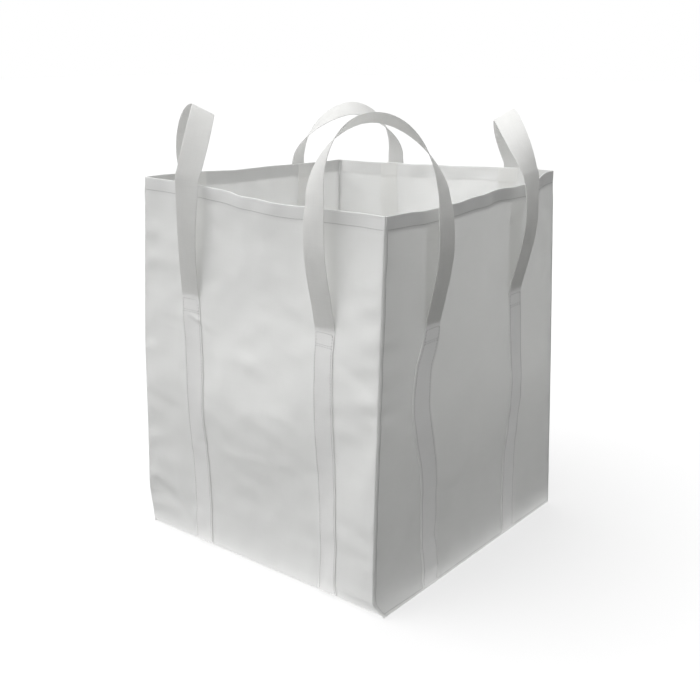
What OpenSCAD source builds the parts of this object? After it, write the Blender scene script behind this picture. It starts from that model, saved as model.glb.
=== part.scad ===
// Bulk bag: an open-topped, flat-bottomed woven bag with four lifting loops.
// The origin is the middle of the floor's underside. +Z is up, -Y is the front wall.

/* [Bag] */
// Outside width of the square floor
base_w = 930; // [900:10:980]
// Outside width of the square rim
rim_w = 870; // [850:10:900]
// Height of the rim above the floor
bag_h = 1100; // [1000:10:1200]
// Thickness of the woven cloth
cloth_t = 1.2; // [0.8:0.1:2]
// Depth of the hem folded inwards at the rim
hem_h = 40; // [20:5:60]

/* [Loops] */
// Width of the webbing
webbing_w = 70; // [50:5:80]
// Thickness of the webbing
webbing_t = 2.4; // [1.6:0.2:3]
// Distance from the middle of a wall to the centre line of a strap
strap_x = 240; // [220:5:260]
// Height at which a strap leaves its wall
sewn_h = 775; // [650:5:800]
// How far a loose strap stands off its wall at the rim
strap_bulge = 45; // [30:5:60]
// Height of a loop's crown above the rim
crown_rise = 205; // [200:5:240]
// Lean of a loop's arch towards the middle of the bag, in degrees
arch_lean = 16; // [10:1:20]

/* [Sewing] */
// Diameter of the sewing thread
thread_d = 1.2; // [0.8:0.1:1.6]
// Distance from the edge of a strap or panel to its line of stitches
stitch_margin = 6; // [4:1:10]
// Thickness of the backing strips inside the walls
backing_t = 1.2; // [0.8:0.1:2]
// Height above the floor at which straps, strips and their stitches begin
foot_h = 14; // [10:1:30]

/* [Hidden] */
// clearance between neighbouring pieces
gap = 0.2;
// unsewn webbing on each side of a strap's bending line
drop_gap = 40;
// height of an arch's bending line above the rim, and the webbing left free around it
swing_rise = 42;
swing_gap_below = 15;
swing_gap_above = 38;
// clearance at both ends of the webbing that twists
fold_gap = 3.5;
// length over which a backing strip bends inwards below the hem
backing_bend = 6;
// bar tacks across the top of a sewn strap, measured down from the bending line
tack_drops = [8, 40];

wall_lean = atan((base_w - rim_w) / 2 / bag_h);
// rim and bending line, measured along the sloping wall
rim_s = bag_h / cos(wall_lean);
sewn_s = sewn_h / cos(wall_lean);
swing_s = rim_s + swing_rise;
// a loose strap is an arc that is parallel to its wall at the rim
strap_r = (pow(rim_s - sewn_s, 2) + pow(strap_bulge, 2)) / (2 * strap_bulge);
// the middle of a loose strap's thickness at the rim
strap_mid_y = -strap_bulge - gap - webbing_t / 2;
strap_top = in_corner(strap_mid_y, rim_s + swing_rise - swing_gap_below);
// the arch's bending line runs between the tops of the two loose straps
bend_line = in_corner(strap_mid_y, rim_s + swing_rise);
arch_radial = -bend_line[1];
arch_r = -bend_line[0];
arch_z = bend_line[2];
// height of the arch's centre above its bending line, along the arch's own plane
arch_centre = (bag_h + crown_rise - arch_z) / cos(arch_lean) - arch_r;
arch_start = asin((swing_gap_above - arch_centre) / arch_r);
arch_end = [
    -arch_r * cos(arch_start),
    -arch_radial + swing_gap_above * sin(arch_lean),
    arch_z + swing_gap_above * cos(arch_lean)
];

$fn = 96;

// quarter turns that take the front wall to each wall, and the front right corner to each corner
FRONT = 0;
RIGHT = 1;
BACK = 2;
LEFT = 3;
FRONT_RIGHT = 0;
BACK_RIGHT = 1;
BACK_LEFT = 2;
FRONT_LEFT = 3;

// half of the bag's outside width at height z
function half_w(z) = (base_w - (base_w - rim_w) * z / bag_h) / 2;
// the front wall's own y (negative is outwards) and slope height, as the bag's y and z
function wall_y(y, s) = -base_w / 2 + y * cos(wall_lean) + s * sin(wall_lean);
function wall_z(y, s) = s * cos(wall_lean) - y * sin(wall_lean);
// a point on the front wall's strap in its corner's frame: x along the bending line, -y out of the bag
function in_corner(y, s) = [
    (strap_x + wall_y(y, s)) / sqrt(2),
    (wall_y(y, s) - strap_x) / sqrt(2),
    wall_z(y, s)
];

// ---- places ----

// children are drawn on a wall: x along it, -y out of it, z up its slope
module on_wall(turn) {
    rotate([0, 0, 90 * turn])
        translate([0, -base_w / 2, 0])
            rotate([-wall_lean, 0, 0])
                children();
}

// children are drawn in a corner's frame: x along the loop's bending lines, -y out of the bag
module on_corner(corner) {
    rotate([0, 0, 45 + 90 * corner]) children();
}

// children are drawn at both straps of a corner's loop
module at_straps(corner) {
    on_wall(corner) translate([strap_x, 0, 0]) children();
    on_wall(corner + 1) translate([-strap_x, 0, 0]) children();
}

// a 2D outline in the YZ plane, drawn out along X
module along_x(length) {
    rotate([90, 0, 90]) linear_extrude(length, center = true) children();
}

// a 2D outline in the XZ plane, drawn out along Y
module along_y(length) {
    rotate([90, 0, 0]) linear_extrude(length, center = true) children();
}

// ---- cloth ----

// one wall in section, from the outside at height z, over the rim, to the inside at height inner_z;
// its hem is folded inwards
function wall_section(z, inner_z) = [
    [half_w(z), z],
    [half_w(bag_h), bag_h],
    [half_w(bag_h) - 2 * cloth_t, bag_h],
    [half_w(bag_h - hem_h) - 2 * cloth_t, bag_h - hem_h],
    [half_w(bag_h - hem_h) - cloth_t, bag_h - hem_h],
    [half_w(inner_z) - cloth_t, inner_z]
];

// an outline's points mirrored in x, and in the opposite order
function mirrored(points) = [for (i = [len(points) - 1:-1:0]) [-points[i][0], points[i][1]]];

// front wall, floor and back wall: one length of cloth
module u_panel() {
    wall = wall_section(0, cloth_t);
    color("whitesmoke")
        intersection() {
            along_x(base_w) polygon(concat(wall, mirrored(wall)));
            along_y(base_w)
                polygon([
                    [-half_w(0), 0], [half_w(0), 0],
                    [half_w(bag_h), bag_h], [-half_w(bag_h), bag_h]
                ]);
        }
}

// the room between the front and back walls, seen from the side
function side_outline() = [
    [half_w(0) - cloth_t - gap, 0],
    [half_w(bag_h - hem_h) - cloth_t - gap, bag_h - hem_h - gap],
    [half_w(bag_h - hem_h) - 2 * cloth_t - gap, bag_h - hem_h - gap],
    [half_w(bag_h) - 2 * cloth_t - gap, bag_h]
];

module side_panel(turn) {
    floor_top = cloth_t + gap;
    color("gainsboro")
        rotate([0, 0, 90 * (turn - RIGHT)])
            intersection() {
                along_y(base_w) polygon(wall_section(floor_top, floor_top));
                along_x(2 * base_w) polygon(concat(side_outline(), mirrored(side_outline())));
            }
}

// a backing strip in section: up the inside of the wall, then over the hem to the rim
function backing_section() =
    let (on_cloth = cloth_t + gap, on_hem = 2 * cloth_t + gap, hem_s = rim_s - hem_h - 2 * gap) [
        [on_cloth, foot_h],
        [on_cloth + backing_t, foot_h],
        [on_cloth + backing_t, hem_s - backing_bend],
        [on_hem + backing_t, hem_s],
        [on_hem + backing_t, rim_s - gap],
        [on_hem, rim_s - gap],
        [on_hem, hem_s],
        [on_cloth, hem_s - backing_bend]
    ];

// a strip of cloth sewn inside a wall, behind a strap
module backing(turn, side) {
    color("white")
        on_wall(turn)
            translate([side * strap_x, 0, 0])
                along_x(webbing_w) polygon(backing_section());
}

// ---- webbing ----

// the part of a loop's two straps that is sewn down
module sewn_straps(corner) {
    color("white")
        at_straps(corner)
            translate([-webbing_w / 2, -gap - webbing_t, foot_h])
                cube([webbing_w, webbing_t, sewn_s - foot_h]);
}

// a band of webbing bent to an arc in the YZ plane, its middle at the origin's -y side
module bent_band(radius, from, to) {
    rotate([-90, 0, 0])
        rotate([0, 90, 0])
            rotate([0, 0, from])
                rotate_extrude(angle = to - from, $fn = 360)
                    translate([radius - webbing_t, -webbing_w / 2])
                        square([webbing_t, webbing_w]);
}

// both straps of a loop between two heights, measured down from the rim
module strap_arcs(corner, from, to) {
    at_straps(corner)
        translate([0, strap_r - strap_bulge - gap - webbing_t, rim_s])
            bent_band(strap_r, asin(from / strap_r), asin(to / strap_r));
}

// the webbing that bends where the straps leave their walls
module lower_folds(corner) {
    color("silver")
        strap_arcs(corner, rim_s - sewn_s - drop_gap + gap, rim_s - sewn_s - gap);
}

// the part of a loop's two straps that hangs clear of the walls
module loose_straps(corner) {
    color("silver")
        strap_arcs(corner, swing_gap_below - swing_rise, rim_s - sewn_s - drop_gap);
}

// an upright piece of webbing that turns 45 degrees clockwise on its way up
module twisted_band(length) {
    linear_extrude(length, twist = 45, slices = 8, segments = 18)
        rotate([0, 0, -45])
            square([webbing_w, webbing_t], center = true);
}

// the webbing that twists from the walls' directions to the arch's, and bends when the arch swings
module upper_folds(corner) {
    reach = arch_end - strap_top;
    length = norm(reach);
    tilt = acos(reach[2] / length);
    heading = atan2(reach[1], reach[0]);
    color("silver")
        on_corner(corner)
            for (side = [0, 1])
                mirror([side, 0, 0])
                    translate(strap_top)
                        rotate([0, tilt, heading])
                            rotate([0, 0, -heading])
                                translate([0, 0, fold_gap])
                                    twisted_band(length - 2 * fold_gap);
}

// the arch over the corner, which joins the two straps
module arch(corner) {
    color("white")
        on_corner(corner)
            translate([0, -arch_radial, arch_z])
                rotate([90 - arch_lean, 0, 0])
                    translate([0, arch_centre, 0])
                        rotate([0, 0, arch_start])
                            rotate_extrude(angle = 180 - 2 * arch_start, $fn = 180)
                                translate([arch_r - webbing_t / 2, -webbing_w / 2])
                                    square([webbing_t, webbing_w]);
}

// ---- sewing ----

// a straight line of thread
module thread(length) {
    cylinder(d = thread_d, h = length, $fn = 24);
}

// the two long lines and the bar tacks that hold each sewn strap
module strap_stitching(corner) {
    line_x = webbing_w / 2 - stitch_margin;
    color("dimgray")
        at_straps(corner)
            translate([0, -2 * gap - webbing_t - thread_d / 2, 0]) {
                for (side = [-1, 1])
                    translate([side * line_x, 0, foot_h]) thread(sewn_s - foot_h);
                for (drop = tack_drops)
                    translate([thread_d - line_x, 0, sewn_s - drop])
                        rotate([0, 90, 0]) thread(2 * (line_x - thread_d));
            }
}

module hem_stitching() {
    half_length = half_w(bag_h) - stitch_margin;
    color("dimgray")
        for (turn = [FRONT, RIGHT, BACK, LEFT])
            on_wall(turn)
                translate([-half_length, -gap - thread_d / 2, rim_s - hem_h + stitch_margin])
                    rotate([0, 90, 0]) thread(2 * half_length);
}

// the stitches that join a side panel to the U-panel, down one corner, along the floor and up the other
module seam_stitching(turn) {
    edge_x = half_w(0) - stitch_margin;
    color("dimgray")
        on_wall(turn)
            translate([0, -gap - thread_d / 2, 0]) {
                for (side = [-1, 1])
                    translate([side * edge_x, 0, foot_h])
                        rotate([0, -side * wall_lean, 0]) thread(rim_s - hem_h - foot_h);
                translate([-edge_x, 0, stitch_margin]) rotate([0, 90, 0]) thread(2 * edge_x);
            }
}

u_panel();
side_panel(RIGHT);  // right_side_panel
side_panel(LEFT);  // left_side_panel
hem_stitching();
seam_stitching(RIGHT);  // right_seam_stitching
seam_stitching(LEFT);  // left_seam_stitching
backing(FRONT, 1);  // front_wall_right_backing
backing(FRONT, -1);  // front_wall_left_backing
backing(RIGHT, -1);  // right_wall_front_backing
backing(RIGHT, 1);  // right_wall_back_backing
backing(BACK, -1);  // back_wall_right_backing
backing(BACK, 1);  // back_wall_left_backing
backing(LEFT, 1);  // left_wall_front_backing
backing(LEFT, -1);  // left_wall_back_backing
sewn_straps(FRONT_RIGHT);  // front_right_sewn_straps
strap_stitching(FRONT_RIGHT);  // front_right_stitching
lower_folds(FRONT_RIGHT);  // front_right_lower_folds
loose_straps(FRONT_RIGHT);  // front_right_loose_straps
upper_folds(FRONT_RIGHT);  // front_right_upper_folds
arch(FRONT_RIGHT);  // front_right_arch
sewn_straps(BACK_RIGHT);  // back_right_sewn_straps
strap_stitching(BACK_RIGHT);  // back_right_stitching
lower_folds(BACK_RIGHT);  // back_right_lower_folds
loose_straps(BACK_RIGHT);  // back_right_loose_straps
upper_folds(BACK_RIGHT);  // back_right_upper_folds
arch(BACK_RIGHT);  // back_right_arch
sewn_straps(BACK_LEFT);  // back_left_sewn_straps
strap_stitching(BACK_LEFT);  // back_left_stitching
lower_folds(BACK_LEFT);  // back_left_lower_folds
loose_straps(BACK_LEFT);  // back_left_loose_straps
upper_folds(BACK_LEFT);  // back_left_upper_folds
arch(BACK_LEFT);  // back_left_arch
sewn_straps(FRONT_LEFT);  // front_left_sewn_straps
strap_stitching(FRONT_LEFT);  // front_left_stitching
lower_folds(FRONT_LEFT);  // front_left_lower_folds
loose_straps(FRONT_LEFT);  // front_left_loose_straps
upper_folds(FRONT_LEFT);  // front_left_upper_folds
arch(FRONT_LEFT);  // front_left_arch
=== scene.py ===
"""Bulk bag: an empty, open-topped bag of white woven cloth with four webbing loops.

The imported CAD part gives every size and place. The cloth, webbing and sewing are built here as curved
sheets, bands and single stitches that all lie on one draped wall surface.
"""

import math
from collections import namedtuple

import bpy
import numpy as np
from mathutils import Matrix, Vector


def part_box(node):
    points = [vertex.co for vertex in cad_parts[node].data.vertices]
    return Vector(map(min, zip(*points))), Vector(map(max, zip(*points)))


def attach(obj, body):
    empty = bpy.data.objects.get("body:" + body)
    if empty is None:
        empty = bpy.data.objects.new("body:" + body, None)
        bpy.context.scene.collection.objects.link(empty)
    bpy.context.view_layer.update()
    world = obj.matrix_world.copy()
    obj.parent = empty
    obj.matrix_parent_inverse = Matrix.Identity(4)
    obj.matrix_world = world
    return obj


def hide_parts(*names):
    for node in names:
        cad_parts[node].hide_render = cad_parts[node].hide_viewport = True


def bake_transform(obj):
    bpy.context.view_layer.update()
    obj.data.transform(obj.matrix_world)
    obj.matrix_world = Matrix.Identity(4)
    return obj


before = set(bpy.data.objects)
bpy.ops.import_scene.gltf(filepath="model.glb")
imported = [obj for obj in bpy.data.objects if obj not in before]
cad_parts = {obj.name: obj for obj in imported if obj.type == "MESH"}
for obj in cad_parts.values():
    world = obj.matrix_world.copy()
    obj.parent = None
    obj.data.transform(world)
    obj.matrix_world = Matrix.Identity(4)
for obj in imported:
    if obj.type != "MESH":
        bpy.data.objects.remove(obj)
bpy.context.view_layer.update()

# ---------------------------------------------------------------- sizes, read from the frame


def cad_points(node):
    """The corner points of a CAD node, in metres."""
    return np.array([v.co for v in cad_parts[node].data.vertices])


PANEL = cad_points("u_panel")
BAG_H = PANEL[:, 2].max()
BASE_HALF = PANEL[:, 0].max()
RIM_HALF = np.abs(PANEL[PANEL[:, 2] > BAG_H - 1e-4, 1]).max()
HEM_STITCH_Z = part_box("hem_stitching")[0].z
BACKING_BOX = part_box("front_wall_right_backing")
WEBBING_W = BACKING_BOX[1].x - BACKING_BOX[0].x
SEWN_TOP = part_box("front_right_sewn_straps")[1].z
FOOT_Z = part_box("front_right_sewn_straps")[0].z
CROWN_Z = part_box("front_right_arch")[1].z
HEM_H = (BAG_H - HEM_STITCH_Z) + 0.006

# thicknesses, the play between layers, radii of the sewn edges and the spacing of the walls' mesh
CLOTH_T = 0.0011
WEBBING_T = 0.0024
BACKING_T = 0.0011
CLEAR = 0.0003
SEAM_RADIUS = 0.006
FLANGE = 0.008
FLOOR_RADIUS = 0.02
CELL = 0.012

FRONT, RIGHT, BACK, LEFT = range(4)
WALL_NAMES = ["front", "right", "back", "left"]
CORNER_NAMES = ["front_right", "back_right", "back_left", "front_left"]


def half_width(z):
    """Half of the bag's outside width at height z."""
    return BASE_HALF + (RIM_HALF - BASE_HALF) * z / BAG_H


def turned(points, wall):
    """Points of the front wall, turned about +Z onto another wall."""
    c, s = [(1, 0), (0, 1), (-1, 0), (0, -1)][wall % 4]
    x, y, z = points[..., 0], points[..., 1], points[..., 2]
    return np.stack([c * x - s * y, s * x + c * y, z], -1)


def smooth(value, low, high):
    """0 below low, 1 above high, and a smooth step between."""
    t = np.clip((value - low) / (high - low), 0, 1)
    return t * t * (3 - 2 * t)


def bell(value, centre, width):
    """A smooth hump, 1 at the centre and small beyond width from it."""
    return np.exp(-(((value - centre) / width) ** 2))


def unit(vectors):
    """The vectors, each brought to length 1."""
    return vectors / np.maximum(np.linalg.norm(vectors, axis=-1, keepdims=True), 1e-12)


# ---------------------------------------------------------------- the drape of the walls


def cubic_weights(t):
    """Catmull-Rom weights of four neighbours, for a place t between the middle two."""
    return np.stack(
        [
            ((-0.5 * t + 1.0) * t - 0.5) * t,
            (1.5 * t - 2.5) * t * t + 1.0,
            ((-1.5 * t + 2.0) * t + 0.5) * t,
            (0.5 * t - 0.5) * t * t,
        ],
        -1,
    )


def sample(grid, u, v):
    """Smooth values of a grid[row, column] at columns u and rows v."""
    rows, columns = grid.shape[:2]
    u = np.clip(u, 0, columns - 1.000001)
    v = np.clip(v, 0, rows - 1.000001)
    iu, iv = np.floor(u).astype(int), np.floor(v).astype(int)
    wu, wv = cubic_weights(u - iu), cubic_weights(v - iv)
    total = 0
    for a in range(4):
        row = np.clip(iv + a - 1, 0, rows - 1)
        for b in range(4):
            column = np.clip(iu + b - 1, 0, columns - 1)
            weight = wv[..., a] * wu[..., b]
            values = grid[row, column]
            total = total + (weight[..., None] * values if values.ndim > weight.ndim else weight * values)
    return total


def noise(seed, x, z, cell_x, cell_z):
    """Smooth random values of about -1 to 1, with hills cell_x wide and cell_z high."""
    shape = (int(BAG_H / cell_z) + 5, int(2 * BASE_HALF / cell_x) + 5)
    grid = np.random.default_rng(seed).uniform(-1, 1, shape)
    return sample(grid, (x + BASE_HALF) / cell_x + 1, z / cell_z + 1)


# a crease: (wall, x and z of its start, x and z of its end, half width, height); heights out of the wall
CREASES = [
    (FRONT, -0.27, 0.728, -0.15, 0.690, 0.006, 0.0034),
    (FRONT, -0.40, 0.700, -0.27, 0.690, 0.007, -0.0024),
    (FRONT, -0.20, 0.640, 0.10, 0.610, 0.030, 0.0026),
    (FRONT, 0.00, 0.500, 0.16, 0.490, 0.010, 0.0014),
    (FRONT, -0.12, 0.330, 0.10, 0.350, 0.012, 0.0016),
    (FRONT, -0.10, 0.260, 0.02, 0.240, 0.010, 0.0014),
    (FRONT, 0.30, 0.700, 0.44, 0.640, 0.016, -0.0026),
    (FRONT, 0.31, 0.905, 0.44, 0.915, 0.014, 0.0020),
    (FRONT, -0.44, 0.170, -0.26, 0.040, 0.022, -0.0050),
    (FRONT, -0.34, 0.230, -0.30, 0.090, 0.014, 0.0030),
    (RIGHT, -0.43, 0.080, -0.28, 0.300, 0.018, 0.0040),
    (RIGHT, -0.43, 0.060, -0.12, 0.200, 0.020, -0.0040),
    (RIGHT, -0.42, 0.040, -0.02, 0.090, 0.018, 0.0030),
    (RIGHT, -0.12, 0.560, 0.10, 0.720, 0.030, 0.0030),
    (RIGHT, 0.30, 0.060, 0.43, 0.180, 0.018, 0.0030),
    (RIGHT, -0.03, 0.300, -0.01, 0.520, 0.026, -0.0026),
    (BACK, -0.35, 0.250, -0.10, 0.300, 0.016, 0.0030),
    (BACK, 0.00, 0.600, 0.18, 0.640, 0.020, -0.0030),
    (BACK, 0.28, 0.120, 0.43, 0.060, 0.016, 0.0040),
    (BACK, -0.10, 0.850, 0.12, 0.830, 0.018, 0.0026),
    (LEFT, -0.40, 0.120, -0.20, 0.040, 0.018, -0.0040),
    (LEFT, -0.10, 0.480, 0.14, 0.500, 0.016, 0.0026),
    (LEFT, 0.26, 0.700, 0.42, 0.660, 0.018, 0.0030),
    (LEFT, 0.02, 0.220, 0.20, 0.180, 0.020, 0.0030),
]


def crease_height(wall, x, z):
    """The sum of one wall's creases, each a ridge that dies away at both ends."""
    total = np.zeros_like(x)
    for crease_wall, x0, z0, x1, z1, width, height in CREASES:
        if crease_wall != wall:
            continue
        length = math.hypot(x1 - x0, z1 - z0)
        along = ((x - x0) * (x1 - x0) + (z - z0) * (z1 - z0)) / length**2
        across = ((x - x0) * (z1 - z0) - (z - z0) * (x1 - x0)) / length
        ends = np.sin(np.pi * np.clip(along, 0, 1)) ** 0.8
        total += height * ends * np.exp(-((across / width) ** 2))
    return total


def pucker_height(wall, x, z):
    """Short pulls in the cloth beside the corner seams and below the hem stitches."""
    total = np.zeros_like(x)
    for side in (-1, 1):
        inset = half_width(z) - side * x
        strength = bell(inset, 0.022, 0.020) * 0.5 + bell(inset, 0.045, 0.035) * 0.5
        strength = strength * smooth(inset, 0.002, 0.012)
        pulls = noise(31 + 7 * wall + side, z * 0.6, z, 0.03, 0.034)
        total += 0.0034 * strength * pulls
    below_hem = bell(z, BAG_H - HEM_H - 0.004, 0.022)
    total += 0.0022 * below_hem * noise(70 + wall, x, z, 0.045, 0.5)
    return total


def fine_height(wall, x, z):
    """How far the cloth stands out of its smooth drape: listed creases, puckers and soft unevenness."""
    inset = half_width(z) - np.abs(x)
    inner = smooth(inset, 0.0, 0.05)
    soft = 0.0012 * noise(10 + wall, x, z, 0.12, 0.07) + 0.0008 * noise(20 + wall, x, z, 0.05, 0.03)
    total = (crease_height(wall, x, z) + soft) * inner + pucker_height(wall, x, z)
    return total * smooth(z, 0.0, 0.05)


# how far the rim's corners have moved from the CAD corners, in x, y and z
CORNER_SHIFT = np.array(
    [
        (0.002, 0.000, -0.018),
        (-0.005, -0.004, 0.012),
        (0.010, 0.008, -0.012),
        (-0.007, -0.006, 0.010),
    ]
)
# how the corners bow between rim and floor: (x, y, heights where it's full and begins to fade)
CORNER_BOW = [
    (-0.021, -0.017, 0.05, 0.08),
    (0.0, 0.0, 0.05, 0.50),
    (0.0, 0.0, 0.05, 0.50),
    (-0.011, -0.009, 0.15, 0.60),
]
# the share of a wall's half width where a bow starts
BOW_REACH = 0.45
# a dip in the rim: (wall, x where it starts, is full, stops being full and ends, depth, outward curl)
RIM_DIPS = [
    (FRONT, -0.22, 0.08, 0.10, 0.30, 0.008, 0.008),
    (RIGHT, -0.42, -0.20, 0.26, 0.40, 0.010, 0.006),
    (RIGHT, 0.10, 0.20, 0.30, 0.40, 0.007, 0.004),
    (LEFT, -0.20, 0.00, 0.20, 0.40, 0.003, 0.004),
]
# how far each wall's middle stands out
WALL_BULGE = [0.010, 0.012, 0.010, 0.012]


def corner_bow(corner, z):
    """How far a corner bows away from the line between its rim and its foot, at height z."""
    bow_x, bow_y, reached, fading = CORNER_BOW[corner]
    share = smooth(z, 0, reached) * (1 - np.clip((z - fading) / (BAG_H - fading), 0, 1) ** 1.2)
    return share[..., None] * np.array([bow_x, bow_y, 0.0])


def corner_shift(wall, xi, z):
    """The movement that a wall takes over from its two corners: a bow reaches less far than a shift."""
    before, after = (wall - 1) % 4, wall
    share = smooth(xi, -1, 1)[..., None]
    shift = CORNER_SHIFT[before] * (1 - share) + CORNER_SHIFT[after] * share
    bow = corner_bow(before, z) * smooth(-xi, BOW_REACH, 1)[..., None]
    bow = bow + corner_bow(after, z) * smooth(xi, BOW_REACH, 1)[..., None]
    return shift * ((z / BAG_H) ** 1.5)[..., None] + bow


SIM_COLUMNS = 22
SIM_ROWS = 28
SIM_FRAMES = 36
# how firmly the ring's points are held: at the floor and the rim's corners, and along the rim
HELD = 1.0
HELD_RIM = 0.35
HELD_CORNER_ROWS = 4
CLOTH_SETTINGS = {
    "vertex_group_mass": "held",
    "quality": 6,
    "mass": 0.05,
    "tension_stiffness": 30,
    "compression_stiffness": 30,
    "shear_stiffness": 15,
    "bending_stiffness": 3.0,
    "air_damping": 4,
    "shrink_min": -0.0035,
}
# the share of the simulated movement that the walls take over
SETTLE_SHARE = 0.5


def ring_points():
    """Points [row, column] of a coarse ring of cloth round the bag's four flat walls."""
    heights = np.linspace(0, BAG_H, SIM_ROWS + 1)
    shares = np.linspace(-1, 1, SIM_COLUMNS + 1)[:-1]
    z, share = np.meshgrid(heights, shares, indexing="ij")
    wall_points = np.stack([share * half_width(z), -half_width(z), z], -1)
    return np.concatenate([turned(wall_points, wall) for wall in range(4)], axis=1)


def ring_object(points):
    """The ring of cloth as an object with its held points in a vertex group."""
    rows, columns = points.shape[:2]
    index = np.arange(rows * columns).reshape(rows, columns)
    following = np.roll(index, -1, axis=1)
    quads = np.stack([index[:-1], following[:-1], following[1:], index[1:]], -1).reshape(-1, 4)
    mesh = bpy.data.meshes.new("settling_cloth")
    mesh.from_pydata(points.reshape(-1, 3).tolist(), [], quads.tolist())
    ring = bpy.data.objects.new("settling_cloth", mesh)
    bpy.context.scene.collection.objects.link(ring)
    held = ring.vertex_groups.new(name="held")
    held.add(index[0].tolist(), HELD, "REPLACE")
    held.add(index[-1].tolist(), HELD_RIM, "REPLACE")
    held.add(index[-HELD_CORNER_ROWS:, ::SIM_COLUMNS].ravel().tolist(), HELD, "REPLACE")
    return ring


def settle(ring):
    """The ring's points after Blender's cloth simulation."""
    modifier = ring.modifiers.new("cloth", "CLOTH")
    for name, value in CLOTH_SETTINGS.items():
        setattr(modifier.settings, name, value)
    modifier.collision_settings.use_self_collision = False
    modifier.point_cache.frame_start = 1
    modifier.point_cache.frame_end = SIM_FRAMES
    scene = bpy.context.scene
    for frame_number in range(1, SIM_FRAMES + 1):
        scene.frame_set(frame_number)
    evaluated = ring.evaluated_get(bpy.context.evaluated_depsgraph_get())
    points = np.array([v.co for v in evaluated.data.vertices])
    scene.frame_set(1)
    return points


def settle_cloth():
    """Where a ring of cloth, cut a little too large, settles when it hangs in the bag's shape.

    Gives, for each wall, a grid of movements (along the wall, out of it, up) by row and column.
    """
    rest = ring_points()
    ring = ring_object(rest)
    moves = settle(ring).reshape(rest.shape) - rest
    mesh = ring.data
    bpy.data.objects.remove(ring)
    bpy.data.meshes.remove(mesh)
    grids = []
    for wall in range(4):
        wanted = np.arange(wall * SIM_COLUMNS, (wall + 1) * SIM_COLUMNS + 1) % rest.shape[1]
        local = turned(moves[:, wanted], -wall)
        grids.append(np.stack([local[..., 0], -local[..., 1], local[..., 2]], -1))
    return grids


SETTLED = settle_cloth()


def settled(wall, x, z):
    """The settled cloth's movement at a place on a wall: along it, out of it and up."""
    column = (np.clip(x / half_width(z), -1, 1) + 1) / 2 * SIM_COLUMNS
    row = z / BAG_H * SIM_ROWS
    move = sample(SETTLED[wall], column, row)
    return SETTLE_SHARE * move[..., 0], SETTLE_SHARE * move[..., 1], SETTLE_SHARE * move[..., 2]


def drape(wall, x, z):
    """How far the smooth cloth lies out of and above its CAD plane."""
    xi = np.clip(x / half_width(z), -1, 1)
    middle = (1 - xi**2) ** 1.2
    height = z / BAG_H
    near_rim = smooth(z, BAG_H - 0.14, BAG_H)
    up = np.zeros_like(z)
    out = 0.003 * middle * near_rim * noise(50 + wall, x, z, 0.12, 0.6)
    for dip_wall, start, full, full_end, end, depth, curl in RIM_DIPS:
        if dip_wall == wall:
            window = smooth(x, start, full) * (1 - smooth(x, full_end, end))
            up = up - depth * window * smooth(height, 0.7, 1)
            out = out + curl * window * near_rim
    up = up + 0.0022 * middle * smooth(height, 0.8, 1) * noise(40 + wall, x, z, 0.06, 0.6)
    belly = np.sin(np.pi * np.clip(height, 0, 1) ** 0.8)
    out = out + (WALL_BULGE[wall] + 0.005 * noise(60 + wall, x, z, 0.3, 0.24)) * middle * belly
    return out, up


def wall_point(wall, x, z, out):
    """A point at x along a wall and height z, standing out of the cloth's outer face by out."""
    x, z, out = np.broadcast_arrays(np.asarray(x, float), np.asarray(z, float), np.asarray(out, float))
    drape_out, drape_up = drape(wall, x, z)
    along, settled_out, settled_up = settled(wall, x, z)
    reach = half_width(z) + out + drape_out + settled_out + fine_height(wall, x, z)
    point = turned(np.stack([x + along, -reach, z + drape_up + settled_up], -1), wall)
    return point + corner_shift(wall, np.clip(x / half_width(z), -1, 1), z)


# ---------------------------------------------------------------- meshes

# edges sharper than this are shaded as edges, so that a band's end doesn't shade its face
SHARP_ANGLE = math.radians(75)


def new_object(name, vertices, faces, uvs, material, layered=None):
    """A mesh object from arrays: quads as rows of indices, and a UV and a share of layering per vertex."""
    mesh = bpy.data.meshes.new(name)
    faces = np.asarray(faces, np.int32)
    mesh.vertices.add(len(vertices))
    mesh.vertices.foreach_set("co", np.ascontiguousarray(vertices, np.float32).ravel())
    mesh.loops.add(faces.size)
    mesh.loops.foreach_set("vertex_index", faces.ravel())
    mesh.polygons.add(len(faces))
    mesh.polygons.foreach_set("loop_start", np.arange(0, faces.size, faces.shape[1], dtype=np.int32))
    mesh.polygons.foreach_set("use_smooth", np.ones(len(faces), bool))
    layer = mesh.uv_layers.new(name="cloth")
    layer.data.foreach_set("uv", np.ascontiguousarray(uvs, np.float32)[faces.ravel()].ravel())
    if layered is not None:
        attribute = mesh.attributes.new("layered", "FLOAT", "POINT")
        attribute.data.foreach_set("value", np.ascontiguousarray(layered, np.float32))
    mesh.update(calc_edges=True)
    mesh.validate()
    mesh.set_sharp_from_angle(angle=SHARP_ANGLE)
    mesh.materials.append(material)
    obj = bpy.data.objects.new(name, mesh)
    bpy.context.scene.collection.objects.link(obj)
    return obj


def grid_normals(points):
    """Unit normals of a grid[row, column] of points."""
    down = np.gradient(points, axis=0)
    across = np.gradient(points, axis=1)
    return unit(np.cross(across, down))


def grid_faces(rows, columns, first=0, flip=False):
    """Quads of a grid whose points start at index first."""
    index = np.arange(rows * columns).reshape(rows, columns) + first
    quads = np.stack([index[:-1, :-1], index[:-1, 1:], index[1:, 1:], index[1:, :-1]], -1).reshape(-1, 4)
    return quads[:, ::-1] if flip else quads


def tube_faces(index):
    """Quads of a tube whose points have the given indices[ring, place round the ring]."""
    following = np.roll(index, -1, axis=1)
    return np.stack([index[:-1], index[1:], following[1:], following[:-1]], -1).reshape(-1, 4)


def path_lengths(points):
    """How far each of a row of points lies along the path through them."""
    return np.concatenate([[0], np.cumsum(np.linalg.norm(np.diff(points, axis=0), axis=1))])


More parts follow.
